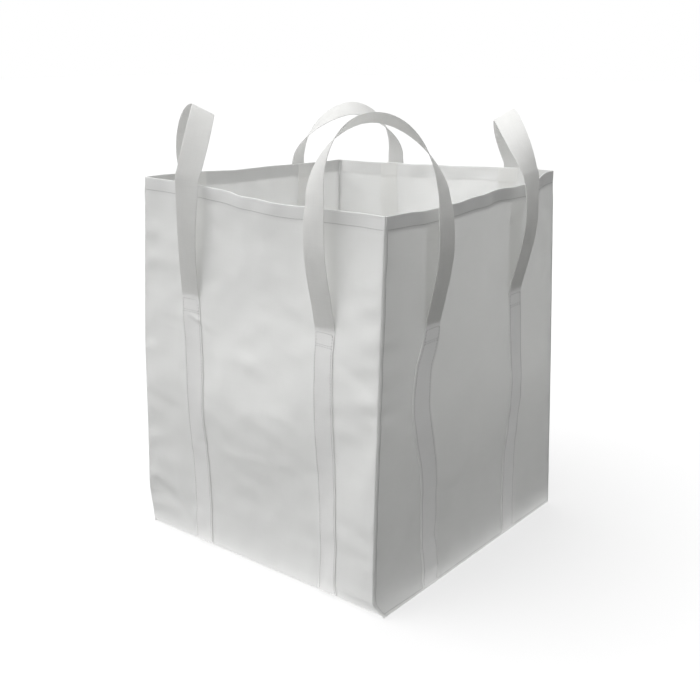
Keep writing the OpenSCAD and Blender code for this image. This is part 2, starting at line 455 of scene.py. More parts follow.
def border_faces(rows, columns):
    """Quads that join the edges of a grid to the edges of an equal grid that follows it."""
    index = np.arange(rows * columns).reshape(rows, columns)
    ring = np.concatenate([index[0, :-1], index[:-1, -1], index[-1, :0:-1], index[:0:-1, 0]])
    following = np.roll(ring, -1)
    offset = rows * columns
    return np.stack([following, ring, ring + offset, following + offset], -1)


def thin_sheet(name, points, uvs, thickness, material, layered):
    """A closed sheet of cloth with its middle on a grid of points, and a share of layering per row."""
    rows, columns = points.shape[:2]
    normals = grid_normals(points)
    shift = normals * thickness / 2
    vertices = np.concatenate([(points + shift).reshape(-1, 3), (points - shift).reshape(-1, 3)])
    faces = np.concatenate(
        [
            grid_faces(rows, columns, flip=True),
            grid_faces(rows, columns, rows * columns),
            border_faces(rows, columns),
        ]
    )
    flat = uvs.reshape(-1, 2)
    layers = np.tile(np.repeat(layered, columns), 2)
    return new_object(name, vertices, faces, np.concatenate([flat, flat]), material, layers)


# ---------------------------------------------------------------- panels of cloth


def edge_columns(inner_start):
    """Columns at a sewn edge, from the seam allowance inwards: (inset, depth, and those of the normal)."""
    diagonal = math.sqrt(0.5)
    meet = SEAM_RADIUS * (1 - diagonal)
    lane = 0.75 * CLOTH_T
    rows = []
    for share in (1.0, 0.6, 0.3, 0.1, 0.02):
        reach = meet + share * FLANGE * diagonal
        rows.append((reach + lane, reach, diagonal, -diagonal))
    for degrees in (45, 38, 30, 22, 14, 7, 0):
        phi = math.radians(degrees)
        sine, cosine = math.sin(phi), math.cos(phi)
        rows.append((SEAM_RADIUS * (1 - sine) + lane, SEAM_RADIUS * (1 - cosine), sine, cosine))
    inset = SEAM_RADIUS + lane + 0.004
    while inset < inner_start:
        rows.append((inset, 0.0, 0.0, 1.0))
        inset += 0.006
    return rows


def panel_columns():
    """All columns of a panel, from one sewn edge to the other: x share, inset, depth and normal."""
    edge_width = 0.06
    edge = edge_columns(edge_width)
    count = int(2 * (BASE_HALF - edge_width) / CELL)
    columns = [(-1.0, *row) for row in edge]
    columns += [(share, edge_width, 0.0, 0.0, 1.0) for share in np.linspace(-1, 1, count + 1)]
    columns += [(1.0, *row) for row in reversed(edge)]
    return np.array(columns)


def hem_rows():
    """Rows of the folded hem, from its inner end over the rim: (z, layer offset, wall depth, dz, ddepth)."""
    fold = 0.0010
    inner = [
        (BAG_H - HEM_H, 0.0014),
        (BAG_H - HEM_H + 0.004, 0.0013),
        (BAG_H - HEM_H + 0.008, 0.0013),
        (BAG_H - HEM_H * 0.6, 0.0015),
        (BAG_H - HEM_H * 0.3, 0.0017),
        (BAG_H - 0.006, 2 * fold),
        (BAG_H - fold, 2 * fold),
    ]
    rows = [(z, offset, 0.0, 0.0, 1.0) for z, offset in inner]
    for degrees in (150, 120, 90, 60, 30):
        a = math.radians(degrees)
        rows.append((BAG_H - fold + fold * math.sin(a), fold - fold * math.cos(a), 0.0, 0.0, 1.0))
    rows += [(BAG_H - fold - 0.001 * k, 0.0, 0.0, 0.0, 1.0) for k in (0, 2, 5)]
    return rows


def wall_rows(bottom):
    """Rows of a wall from below the rim to the height bottom."""
    top = BAG_H - 0.012
    count = int((top - bottom) / CELL)
    heights = np.linspace(top, bottom, count + 1)
    return [(z, 0.0, 0.0, 0.0, 1.0) for z in heights]


def floor_rows():
    """Rows round the bottom edge and to the middle of the floor."""
    rows = []
    for phi in np.radians(np.linspace(10, 90, 9)):
        sine, cosine = math.sin(phi), math.cos(phi)
        rows.append((FLOOR_RADIUS * (1 - sine), 0.0, FLOOR_RADIUS * (1 - cosine), sine, cosine))
    for depth in np.linspace(FLOOR_RADIUS, BASE_HALF, 32)[1:]:
        rows.append((0.0, 0.0, depth, 1.0, 0.0))
    return rows


def bottom_seam_rows():
    """Rows of a side panel's bottom edge, turned in under the seam."""
    rows = []
    for inset, depth, normal_inset, normal_depth in reversed(edge_columns(SEAM_RADIUS)):
        rows.append((inset, 0.0, depth, normal_inset, normal_depth))
    return rows


def panel_points(wall, rows, columns):
    """Middle points and UVs of a panel: rows run down the wall and columns run across it."""
    z, offset, depth, dz, ddepth = [a[:, None] for a in np.array(rows).T]
    share, inset, edge_depth, normal_x, normal_depth = [a[None, :] for a in columns.T]
    offset = offset + CLOTH_T / 2
    sunk = edge_depth + normal_depth * offset
    height = z + dz * sunk
    back = depth + ddepth * sunk
    side = np.where(np.abs(share) < 1, share, np.sign(share))
    x = side * (half_width(z) - inset - normal_x * offset)
    height, back, x = np.broadcast_arrays(height, back, x)
    points = wall_point(wall, x, height, -back)
    points[..., 2] = np.maximum(points[..., 2], CLOTH_T / 2)
    length = path_lengths(points[:, points.shape[1] // 2])
    uvs = np.stack([x, np.broadcast_to(length[:, None], x.shape)], -1)
    return points, uvs


# shares of layering: they lower a place's translucency and set its painted shade and painted glow
HEM_LAYERED = 0.25
BACKING_LAYERED = 0.3


def hem_layers(rows):
    """The share of layering of a panel's rows: the hem is two layers thick."""
    return HEM_LAYERED * smooth(np.array(rows)[:, 0], BAG_H - HEM_H - 0.004, BAG_H - HEM_H + 0.004)


def u_panel(material):
    """The front wall, floor and back wall: one length of cloth, hemmed at both ends."""
    columns = panel_columns()
    rows = hem_rows() + wall_rows(FLOOR_RADIUS) + floor_rows()
    front, front_uv = panel_points(FRONT, rows, columns)
    back, back_uv = panel_points(BACK, rows, columns)
    points = np.concatenate([front, back[-2::-1, ::-1]])
    middle = front_uv[-1, 0, 1]
    back_uv = np.stack([-back_uv[..., 0], 2 * middle - back_uv[..., 1]], -1)
    uvs = np.concatenate([front_uv, back_uv[-2::-1, ::-1]])
    hem = hem_layers(rows)
    panel = thin_sheet("cloth_u_panel", points, uvs, CLOTH_T, material, np.concatenate([hem, hem[-2::-1]]))
    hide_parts("u_panel")
    return panel


def side_panel(wall, material):
    """A side wall, turned in at its two upright seams and its bottom seam."""
    rows = hem_rows() + wall_rows(SEAM_RADIUS + CLOTH_T) + bottom_seam_rows()
    points, uvs = panel_points(wall, rows, panel_columns())
    side = WALL_NAMES[wall]
    panel = thin_sheet(f"cloth_{side}_side_panel", points, uvs, CLOTH_T, material, hem_layers(rows))
    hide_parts(f"{side}_side_panel")
    return panel


def backing_strip(wall, side, name, material):
    """A strip of cloth inside the wall, behind a sewn strap."""
    hem_end = BAG_H - HEM_H
    on_hem = np.linspace(BAG_H - 0.001, hem_end + 0.001, 5)
    step = np.linspace(hem_end - 0.001, hem_end - 0.008, 4)
    below = np.linspace(hem_end - 0.018, FLOOR_RADIUS + 0.004, 88)
    heights = np.concatenate([on_hem, step, below])
    shares = np.linspace(-0.5, 0.5, 9)
    z, share = np.meshgrid(heights, shares, indexing="ij")
    x = strap_line(wall, side, z) + share * WEBBING_W
    over_hem = 0.0016 * smooth(z, hem_end - 0.008, hem_end - 0.001)
    depth = CLOTH_T + CLEAR + BACKING_T / 2 + over_hem
    points = wall_point(wall, x, z, -depth)
    uvs = np.stack([x, z], -1)
    layered = np.full(len(heights), BACKING_LAYERED)
    strip = thin_sheet(f"strip_{name}", points, uvs, BACKING_T, material, layered)
    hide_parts(name)
    return strip


# ---------------------------------------------------------------- webbing

# where a strap lies: x of its centre line at its foot, at its sewn top and at the rim, and how far the line
# sways sideways in between; for its loose part, the gap to the wall at the rim, the extra bulge halfway up,
# and how far it's turned about its length there, in degrees
Strap = namedtuple("Strap", "foot top rim sway gap bulge turn")
STRAPS = {
    (FRONT, 1): Strap(0.270, 0.250, 0.245, 0.0, 0.040, 0.015, 0),
    (FRONT, -1): Strap(-0.225, -0.255, -0.215, 0.010, 0.035, 0.010, 0),
    (RIGHT, -1): Strap(-0.245, -0.230, -0.225, -0.055, 0.030, 0.020, 5),
    (RIGHT, 1): Strap(0.185, 0.205, 0.205, 0.0, 0.045, 0.020, 30),
    (BACK, 1): Strap(0.235, 0.205, 0.210, 0.0, 0.035, 0.010, 0),
    (BACK, -1): Strap(-0.240, -0.275, -0.275, 0.0, 0.030, 0.010, 0),
    (LEFT, -1): Strap(-0.240, -0.235, -0.250, 0.0, 0.030, 0.010, 0),
    (LEFT, 1): Strap(0.245, 0.240, 0.230, 0.0, 0.035, 0.015, 0),
}
# the height at which a strap sways most, and how far up and down the sway reaches
SWAY_Z = 0.56
SWAY_SPREAD = 0.18
# each loop: its crown's distance from the bag's axis, drop below the CAD crown, tilt in degrees and sideways
# shift, how pointed its arch is, how far below the rim its straps begin to turn towards the arch, and how
# far the arch's first leg bows outwards
Loop = namedtuple("Loop", "reach drop tilt sideways point twist bow")
LOOPS = [
    Loop(0.460, 0.010, 25, -0.010, 1.0, 0.06, 0),
    Loop(0.445, 0.035, 30, 0.000, 1.35, 0.06, 0),
    Loop(0.450, 0.040, 33, -0.040, 1.15, 0.06, 0),
    Loop(0.445, 0.015, 27, 0.000, 1.0, 0.20, 0.026),
]


LOOP_RINGS = 460


def strap_line(wall, side, z):
    """x of a strap's centre line on its wall at height z."""
    strap = STRAPS[wall, side]
    sewn = strap.foot + (strap.top - strap.foot) * np.clip(z / SEWN_TOP, 0, 1)
    loose = (strap.rim - strap.top) * smooth(z, SEWN_TOP, BAG_H)
    return sewn + loose + strap.sway * bell(z, SWAY_Z, SWAY_SPREAD) * smooth(SEWN_TOP + 0.01 - z, 0, 0.12)


def climb(z):
    """0 where a strap leaves its wall, and 1 at the rim."""
    return (z - SEWN_TOP) / (BAG_H - SEWN_TOP)


def strap_stand_off(strap, z):
    """How far a loose strap stands off its wall at height z."""
    return strap.gap * smooth(climb(z), 0, 1) + strap.bulge * np.sin(np.pi * np.clip(climb(z), 0, 1))


def catmull_rom(points, count):
    """count points spread evenly along a smooth curve through the given points."""
    points = np.asarray(points, float)
    padded = np.vstack([2 * points[0] - points[1], points, 2 * points[-1] - points[-2]])
    place = np.linspace(0, len(points) - 1.000001, 40 * len(points))
    i = place.astype(int)
    w = cubic_weights(place - i)
    dense = sum(w[:, k : k + 1] * padded[i + k] for k in range(4))
    length = path_lengths(dense[:, :3])
    wanted = np.linspace(0, length[-1], count)
    return np.stack([np.interp(wanted, length, dense[:, c]) for c in range(dense.shape[1])], -1)


def strap_track(wall, side):
    """One strap from its foot to just above the rim: centres, width vectors and heights, in 7 columns."""
    strap = STRAPS[wall, side]
    sewn = np.linspace(FOOT_Z, SEWN_TOP, 64)
    loose = SEWN_TOP + np.array([0.03, 0.08, 0.15, 0.22, 0.29, 0.34])
    stand_off = CLEAR + WEBBING_T / 2
    on_wall = wall_point(wall, strap_line(wall, side, sewn), sewn, stand_off)
    x = strap_line(wall, side, loose)
    top = np.full_like(x, SEWN_TOP)
    at_top = wall_point(wall, x, top, 0)
    flat_top = turned(np.stack([x, -half_width(top), top], -1), wall)
    reach = half_width(loose) + stand_off + strap_stand_off(strap, loose)
    freed = smooth(climb(loose), 0, 1)[:, None]
    free = turned(np.stack([x, -reach, loose], -1), wall) + (at_top - flat_top) * (1 - freed)
    free = free + corner_shift(wall, x / half_width(loose), loose) * freed
    heights = np.concatenate([sewn, loose])
    angle = math.radians(strap.turn) * np.sin(np.pi * np.clip(climb(heights), 0, 1))
    width = turned(np.stack([side * np.cos(angle), np.sin(angle), 0 * angle], -1), wall)
    return np.hstack([np.concatenate([on_wall, free]), width, heights[:, None]])


def loop_track(corner):
    """The whole band of a loop: centres, width vectors and wall heights."""
    shape = LOOPS[corner]
    first = strap_track(corner, 1)
    second = strap_track((corner + 1) % 4, -1)[::-1]
    out = turned(np.array([1.0, -1.0, 0.0]) / math.sqrt(2), corner)
    tangent = turned(np.array([1.0, 1.0, 0.0]) / math.sqrt(2), corner)
    crown = out * shape.reach + tangent * shape.sideways
    crown[2] = CROWN_Z - shape.drop
    middle = (first[-1, :3] + second[0, :3]) / 2
    half_span = (second[0, :3] - first[-1, :3]) / 2
    angles = np.radians(np.linspace(0, 180, 19))[1:-1]
    spread = np.sign(np.cos(angles)) * np.abs(np.cos(angles)) ** shape.point
    arch = middle - half_span * spread[:, None] + (crown - middle) * np.sin(angles)[:, None] ** 1.12
    arch += out * shape.bow * np.maximum(np.sin(2 * angles), 0)[:, None]
    centres = np.concatenate([first[:, :3], arch, second[:, :3]])
    half_arch = CROWN_Z - BAG_H
    rise = [first[:, 6] - BAG_H, half_arch * (1 - np.abs(1 - angles * 2 / math.pi)), second[:, 6] - BAG_H]
    turn = smooth(np.concatenate(rise), -shape.twist, 0.9 * half_arch)[:, None]
    tilt = math.radians(shape.tilt)
    crown_width = out * math.cos(tilt) + np.array([0, 0, math.sin(tilt)])
    on_first = (np.arange(len(centres)) < len(centres) / 2)[:, None]
    end_width = np.where(on_first, first[-1, 3:6], second[0, 3:6])
    widths = unit(end_width * (1 - turn) + crown_width * turn)
    heights = np.concatenate([first[:, 6], np.full(len(arch), CROWN_Z), second[:, 6]])
    track = catmull_rom(np.hstack([centres, widths, heights[:, None]]), LOOP_RINGS)
    return track[:, :3], unit(track[:, 3:6]), track[:, 6]


def laid_on_wall(wall, side, heights):
    """The points of a sewn band whose every thread lies on its wall, as rings along the strap."""
    slope = (strap_line(wall, side, heights + 1e-3) - strap_line(wall, side, heights - 1e-3)) / 2e-3
    straight = 1 / np.sqrt(1 + slope**2)
    section = band_section()
    across = side * section[None, :, 0] * WEBBING_W
    x = strap_line(wall, side, heights)[:, None] + across * straight[:, None]
    z = heights[:, None] - across * (slope * straight)[:, None]
    return wall_point(wall, x, z, CLEAR + WEBBING_T * (0.5 + section[None, :, 1]))


def band_section():
    """Webbing's outline, as (across, out) shares of its width and thickness: ribbed, with round edges."""
    across = np.linspace(-0.485, 0.485, 37)
    rib = 0.5 - 0.07 * (1 - np.cos(across * 2 * np.pi * 9)) / 2
    top = np.stack([across, rib], -1)
    right = np.array([[0.497, 0.36], [0.5, 0.0], [0.497, -0.36]])
    bottom = np.stack([across[::-1], -rib[::-1]], -1)
    left = np.array([[-0.497, -0.36], [-0.5, 0.0], [-0.497, 0.36]])
    return np.concatenate([top, right, bottom, left])


def end_cap(ring, flip):
    """Quads across a band's end, each between two neighbouring top points and the two below them."""
    order = np.roll(ring, 2)
    half = len(ring) // 2
    top = order[1:half]
    bottom = order[:half:-1]
    quads = np.stack([top[:-1], top[1:], bottom[1:], bottom[:-1]], -1)
    return quads[:, ::-1] if flip else quads


def band(centres, widths, heights, start_length, strap=None):
    """Vertices, quads, UVs and layering of a closed length of webbing.

    Where strap gives the (wall, side) of a sewn strap, the band is laid on that wall.
    """
    tangents = unit(np.gradient(centres, axis=0))
    widths = unit(widths - tangents * (widths * tangents).sum(-1, keepdims=True))
    outs = np.cross(widths, tangents)
    section = band_section()
    rings, count = len(centres), len(section)
    vertices = (
        centres[:, None]
        + widths[:, None] * section[None, :, :1] * WEBBING_W
        + outs[:, None] * section[None, :, 1:] * WEBBING_T
    )
    if strap is not None:
        free = smooth(heights, SEWN_TOP - 0.03, SEWN_TOP)[:, None, None]
        vertices = vertices * free + laid_on_wall(*strap, heights) * (1 - free)
    length = start_length + path_lengths(centres)
    u = np.broadcast_to(section[None, :, 0] * WEBBING_W, (rings, count))
    uvs = np.stack([u, np.broadcast_to(length[:, None], (rings, count))], -1).reshape(-1, 2)
    index = np.arange(rings * count).reshape(rings, count)
    quads = np.concatenate([tube_faces(index), end_cap(index[0], False), end_cap(index[-1], True)])
    # the sewn part counts as layered, so it gets painted shade and a painted glow
    layered = np.repeat(1 - smooth(heights, SEWN_TOP, SEWN_TOP + 0.012), count)
    return vertices.reshape(-1, 3), quads, uvs, layered


def join_parts(parts):
    """The vertices and faces of several parts as one, and their other values end to end."""
    columns = list(zip(*parts))
    starts = np.cumsum([0] + [len(vertices) for vertices in columns[0][:-1]])
    faces = np.concatenate([np.asarray(f) + start for f, start in zip(columns[1], starts)])
    others = [np.concatenate(column) for column in columns[2:]]
    return [np.concatenate(columns[0]), faces, *others]


def bend(piece):
    """Bakes a piece of webbing's place into its mesh."""
    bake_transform(piece)


def loop(corner, material):
    """One loop of webbing, in a lower piece that bends off the walls and an upper piece with the arch."""
    name = CORNER_NAMES[corner]
    centres, widths, heights = loop_track(corner)
    above = np.flatnonzero(centres[:, 2] > (SEWN_TOP + BAG_H) / 2)
    first, last = above[0], above[-1]
    lengths = path_lengths(centres)
    start, middle, end = slice(0, first + 1), slice(first, last + 1), slice(last, None)
    pieces = [
        band(centres[start], widths[start], heights[start], 0, (corner, 1)),
        band(centres[end], widths[end], heights[end], lengths[last], ((corner + 1) % 4, -1)),
    ]
    vertices, faces, uvs, layered = join_parts(pieces)
    lower = new_object(f"webbing_{name}_straps", vertices, faces, uvs, material, layered)
    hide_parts(f"{name}_sewn_straps", f"{name}_lower_folds")
    bend(lower)
    vertices, faces, uvs, layered = band(centres[middle], widths[middle], heights[middle], lengths[first])
    upper = new_object(f"webbing_{name}_loop", vertices, faces, uvs, material, layered)
    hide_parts(f"{name}_loose_straps", f"{name}_upper_folds", f"{name}_arch")
    bend(upper)


# ---------------------------------------------------------------- sewing

STITCH_PITCH = 0.0085
STITCH_LENGTH = 0.0062
STITCH_RADIUS = 0.00065
# how far a line of stitches stands off the cloth, and how far it keeps from a strap's edges
ON_CLOTH = 0.0001
EDGE_MARGIN = 0.006
# how far below a sewn strap's top its cross lines are sewn
BAR_TACKS = (0.006, 0.038, 0.043)


def stitch_shape():
    """Points and quads of one stitch lying along x, with z out of the cloth: a short fat-ended bead."""
    stations = np.array([-0.5, -0.42, -0.2, 0.2, 0.42, 0.5])
    girth = np.array([0.15, 0.75, 1.0, 1.0, 0.75, 0.15])
    drop = np.array([-0.8, -0.2, 0.25, 0.25, -0.2, -0.8])
    sides = 6
    angles = np.arange(sides) * 2 * np.pi / sides
    points = []
    for x, r, z in zip(stations * STITCH_LENGTH, girth * STITCH_RADIUS, drop * STITCH_RADIUS):
        for a in angles:
            points.append((x, r * math.cos(a), z + r * math.sin(a)))
    index = np.arange(len(points)).reshape(-1, sides)
    caps = []
    for ring in (index[0][::-1], index[-1]):
        caps += [ring[:4], ring[[0, 3, 4, 5]]]
    quads = np.concatenate([tube_faces(index), caps])
    return np.array(points), quads[:, ::-1]


def stitches(centres, directions, outs):
    """Vertices, quads and UVs of a run of stitches."""
    points, quads = stitch_shape()
    directions = unit(directions)
    outs = unit(outs - directions * (outs * directions).sum(-1, keepdims=True))
    sides = np.cross(outs, directions)
    vertices = (
        centres[:, None]
        + directions[:, None] * points[None, :, :1]
        + sides[:, None] * points[None, :, 1:2]
        + outs[:, None] * points[None, :, 2:]
    ).reshape(-1, 3)
    first = np.arange(len(centres)) * len(points)
    faces = (quads[None] + first[:, None, None]).reshape(-1, 4)
    uvs = np.repeat(np.arange(len(centres))[:, None] * 0.37, len(points), 0)
    uvs = np.hstack([uvs, np.tile(points[:, :1] * 100, (len(centres), 1))])
    return vertices, faces, uvs


def run_on_wall(wall, x_of, z_of, out, length):
    """Stitches along a line on a wall: x_of and z_of give its place at each share of its length."""
    count = max(2, int(length / STITCH_PITCH))
    share = (np.arange(count) + 0.5) / count
    step = 1e-3
    here = wall_point(wall, x_of(share), z_of(share), out)
    ahead = wall_point(wall, x_of(share + step), z_of(share + step), out)
    normal = np.repeat(turned(np.array([[0.0, -1.0, 0.0]]), wall), count, 0)
    return stitches(here, ahead - here, normal)


def between(low, high):
    """The places on a straight stretch, as a function of the share of its length."""
    return lambda share: low + (high - low) * share


def sewing(name, node, runs, material):
    """One node's stitches as an object."""
    piece = new_object(name, *join_parts(runs), material)
    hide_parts(node)
    return piece


def strap_stitches(corner, material):
    """The long lines and the bar tacks on a loop's two sewn straps."""
    runs = []
    out = CLEAR + WEBBING_T * 0.96
    margin = WEBBING_W / 2 - EDGE_MARGIN
    low, high = FOOT_Z + 0.004, SEWN_TOP - EDGE_MARGIN
    height = between(low, high)
    for wall, side in ((corner, 1), ((corner + 1) % 4, -1)):
        for edge in (-1, 1):

            def place(share, edge=edge, wall=wall, side=side):
                """x of a long line, at a share of its length."""
                return strap_line(wall, side, height(share)) + edge * margin

            runs.append(run_on_wall(wall, place, height, out, high - low))
        for drop in BAR_TACKS:
            z = SEWN_TOP - drop
            middle = strap_line(wall, side, z)
            across = between(middle - margin, middle + margin)
            runs.append(run_on_wall(wall, across, between(z, z), out, 2 * margin))
    name = f"{CORNER_NAMES[corner]}_stitching"
    return sewing(f"thread_{name}", name, runs, material)


def hem_stitches(material):
    """One line of stitches round the rim, through both layers of the hem."""
    reach = RIM_HALF - SEAM_RADIUS
    level = between(HEM_STITCH_Z, HEM_STITCH_Z)
    runs = [run_on_wall(wall, between(-reach, reach), level, ON_CLOTH, 2 * reach) for wall in range(4)]
    return sewing("thread_hem", "hem_stitching", runs, material)


def seam_stitches(wall, material):
    """The stitches beside a side panel's three sewn edges."""
    runs = []
    inset = SEAM_RADIUS + 0.003
    low, high = inset + 0.004, BAG_H - HEM_H
    height = between(low, high)
    for side in (-1, 1):

        def place(share, side=side):
            """x of an upright line, at a share of its length."""
            return side * (half_width(height(share)) - inset)

        runs.append(run_on_wall(wall, place, height, ON_CLOTH, high - low))
    reach = BASE_HALF - inset
    runs.append(run_on_wall(wall, between(-reach, reach), between(low, low), ON_CLOTH, 2 * reach))
    name = f"{WALL_NAMES[wall]}_seam_stitching"
    return sewing(f"thread_{name}", name, runs, material)


# ---------------------------------------------------------------- materials


WHITE = (1, 1, 1, 1)
# painted shade: the cloth is painted darker below this height, down to this shade at the floor
LOW_SHADE_BELOW = 0.55
LOW_SHADE_AT_FLOOR = 0.93
# painted shade: how much darker a fully layered place is painted than a single layer, for the light that the
# extra layers hold back
LAYERED_PAINTED_SHADE = 0.30
# tape is the width of one woven tape; glow is painted light, an emission of layered places that stands for
# the light that comes through the layers behind
Fabric = namedtuple("Fabric", "colour darker tape bump translucency roughness sheen mottling glow")
CLOTH_COLOURS = ((0.92, 0.922, 0.915, 1), (0.84, 0.842, 0.835, 1))
BACKING_COLOURS = ((0.90, 0.90, 0.89, 1), (0.82, 0.82, 0.81, 1))
WEBBING_COLOURS = ((0.90, 0.90, 0.89, 1), (0.76, 0.76, 0.75, 1))
FABRICS = {
    "woven_cloth": Fabric(*CLOTH_COLOURS, 0.0025, 0.0002, 0.43, 0.5, 0.1, 5.0, 0.16),
    "backing_cloth": Fabric(*BACKING_COLOURS, 0.002, 0.0002, 1.0, 0.5, 0.1, 5.0, 0.45),
    "webbing": Fabric(*WEBBING_COLOURS, 0.0016, 0.0003, 0.47, 0.45, 0.2, 14.0, 0.25),
}


class Nodes:
    """A short way to write the nodes of a material or a world."""

    def __init__(self, owner):
        """An empty node tree for its owner."""
        owner.use_nodes = True
        self.owner = owner
        self.tree = owner.node_tree
        self.tree.nodes.clear()

    def add(self, kind, settings=None, **inputs):
        """A new node, whose inputs are named, with _ for a space, or numbered, as i0, i1 and so on."""
        node = self.tree.nodes.new(kind)
        for key, value in (settings or {}).items():
            setattr(node, key, value)
        for key, value in inputs.items():
            socket = node.inputs[int(key[1:]) if key.startswith("i") else key.replace("_", " ")]
            if isinstance(value, bpy.types.NodeSocket):
                self.tree.links.new(value, socket)
            else:
                socket.default_value = value
        return node

    def math(self, operation, a, b=0.0, c=0.0):
        """The result of a sum on numbers."""
        return self.add("ShaderNodeMath", {"operation": operation}, i0=a, i1=b, i2=c).outputs[0]

    def scaled(self, colour, factor):
        """A colour made brighter or darker."""
        return self.add("ShaderNodeVectorMath", {"operation": "SCALE"}, i0=colour, i3=factor).outputs[0]

    def mixed(self, share, first, second):
        """A colour between two others."""
        return self.add("ShaderNodeMix", {"data_type": "RGBA"}, i0=share, i6=first, i7=second).outputs[2]

    def glowing(self, colour, strength):
        """A shader that gives light."""
        return self.add("ShaderNodeEmission", Color=colour, Strength=strength).outputs[0]

    def finished(self, surface, output="ShaderNodeOutputMaterial"):
        """The material or world, with its surface joined to the output."""
        self.add(output, Surface=surface)
        return self.owner


def new_material(name):
    """The empty nodes of a new material."""
    return Nodes(bpy.data.materials.new(name))


def streaks(nodes, uv, stretch):
    """Fine uneven streaks along the tapes of one direction."""
    stretched = nodes.add("ShaderNodeVectorMath", {"operation": "MULTIPLY"}, i0=uv, i1=stretch).outputs[0]
    return nodes.add("ShaderNodeTexNoise", Vector=stretched, Scale=4.0, Detail=3.0).outputs[0]


def woven_surface(nodes, fabric):
    """UV-based weave height and colour: (height socket, colour socket)."""
    uv = nodes.add("ShaderNodeUVMap", {"uv_map": "cloth"}).outputs[0]
    split = nodes.add("ShaderNodeSeparateXYZ", i0=uv)
    across = nodes.math("SINE", nodes.math("MULTIPLY", split.outputs[0], math.pi / fabric.tape))
    along = nodes.math("SINE", nodes.math("MULTIPLY", split.outputs[1], math.pi / fabric.tape))
    weave = nodes.math("MULTIPLY", across, along)
    ribs = nodes.math("ADD", nodes.math("ABSOLUTE", across), nodes.math("ABSOLUTE", along))
    height = nodes.math("ADD", nodes.math("MULTIPLY", weave, 0.5), nodes.math("MULTIPLY", ribs, 0.35))
    streaked = nodes.math("ADD", streaks(nodes, uv, (60.0, 4.0, 1.0)), streaks(nodes, uv, (4.0, 60.0, 1.0)))
    clouds = nodes.add("ShaderNodeTexNoise", Vector=uv, Scale=fabric.mottling, Detail=4.0).outputs[0]
    share = nodes.math("ADD", nodes.math("MULTIPLY", streaked, 0.3), nodes.math("MULTIPLY", clouds, 0.4))
    return height, nodes.mixed(share, fabric.darker, fabric.colour)


def painted_low_shade(nodes, colour):
    """A colour with painted shade: slightly darker towards the floor, in soft patches."""
    place = nodes.add("ShaderNodeNewGeometry").outputs["Position"]
    height = nodes.add("ShaderNodeSeparateXYZ", i0=place).outputs[2]
    patches = nodes.add("ShaderNodeTexNoise", Vector=place, Scale=3.0, Detail=3.0).outputs[0]
    level = nodes.math("ADD", height, nodes.math("MULTIPLY", nodes.math("SUBTRACT", patches, 0.5), 0.5))
    low_shade = nodes.add("ShaderNodeMapRange", i0=level, i1=0.0, i2=LOW_SHADE_BELOW, i3=LOW_SHADE_AT_FLOOR, i4=1.0)
    return nodes.scaled(colour, low_shade.outputs[0])


def fabric_material(name):
    """White woven plastic cloth: soft gloss, a visible weave, and some light coming through; layered places
    get painted shade and a painted glow.
    """
    fabric = FABRICS[name]
    nodes = new_material(name)
    height, colour = woven_surface(nodes, fabric)
    layered = nodes.add("ShaderNodeAttribute", {"attribute_name": "layered"}).outputs["Fac"]
    shade = nodes.math("SUBTRACT", 1.0, nodes.math("MULTIPLY", layered, LAYERED_PAINTED_SHADE))
    # painted shade: darker towards the floor, and darker on layered places
    colour = nodes.scaled(painted_low_shade(nodes, colour), shade)
    bumped = nodes.add("ShaderNodeBump", Strength=1.0, Distance=fabric.bump, Height=height).outputs[0]
    surface = nodes.add(
        "ShaderNodeBsdfPrincipled",
        Base_Color=colour,
        Roughness=fabric.roughness,
        Normal=bumped,
        Sheen_Weight=fabric.sheen,
        Specular_IOR_Level=0.35,
    ).outputs[0]
    through = nodes.add("ShaderNodeBsdfTranslucent", Color=colour, Normal=bumped).outputs[0]
    share = nodes.math("MULTIPLY", nodes.math("SUBTRACT", 1.0, layered), fabric.translucency)
    both = nodes.add("ShaderNodeMixShader", i0=share, i1=surface, i2=through).outputs[0]
    # painted light: layered places glow, for the light that comes through the layers behind
    glow = nodes.glowing(colour, nodes.math("MULTIPLY", layered, fabric.glow))
    return nodes.finished(nodes.add("ShaderNodeAddShader", i0=both, i1=glow).outputs[0])


def thread_material():
    """Twisted sewing thread, painted dark grey: painted shade for the shadow along the stitch lines."""
    nodes = new_material("thread_painted_shade")
    uv = nodes.add("ShaderNodeUVMap", {"uv_map": "cloth"}).outputs[0]
    bands = {"wave_type": "BANDS", "bands_direction": "DIAGONAL"}
    twist = nodes.add("ShaderNodeTexWave", bands, Vector=uv, Scale=9.0).outputs[1]
    # painted shade: the thread's dark greys stand for the shadow in the stitch lines
    colour = nodes.mixed(twist, (0.24, 0.24, 0.23, 1), (0.42, 0.42, 0.41, 1))
    bumped = nodes.add("ShaderNodeBump", Strength=0.6, Distance=0.0002, Height=twist).outputs[0]
    surface = nodes.add("ShaderNodeBsdfPrincipled", Base_Color=colour, Roughness=0.6, Normal=bumped)
    return nodes.finished(surface.outputs[0])


def floor_material():
    """A pale floor that glows a little, so that it stays pale in the bag's soft shadow."""
    nodes = new_material("pale_floor")
    grain = nodes.add("ShaderNodeTexNoise", Scale=30.0, Detail=4.0).outputs[0]
    colour = nodes.mixed(grain, (0.28, 0.28, 0.28, 1), (0.30, 0.30, 0.30, 1))
    surface = nodes.add("ShaderNodeBsdfDiffuse", Color=colour).outputs[0]
    glow = nodes.glowing(WHITE, FLOOR_GLOW)
    return nodes.finished(nodes.add("ShaderNodeAddShader", i0=surface, i1=glow).outputs[0])


# ---------------------------------------------------------------- stage

# the sky's brightness overhead, at the horizon and below it, and how much darker it is towards +X
SKY_ZENITH = 1.55
SKY_HORIZON = 0.40
SKY_BELOW = 0.12
SKY_LEANING = -0.82
BACKDROP = 1.0
FLOOR_GLOW = 0.60
FLOOR_SIZE = 80
# just below the bag's underside
FLOOR_Z = -0.0005
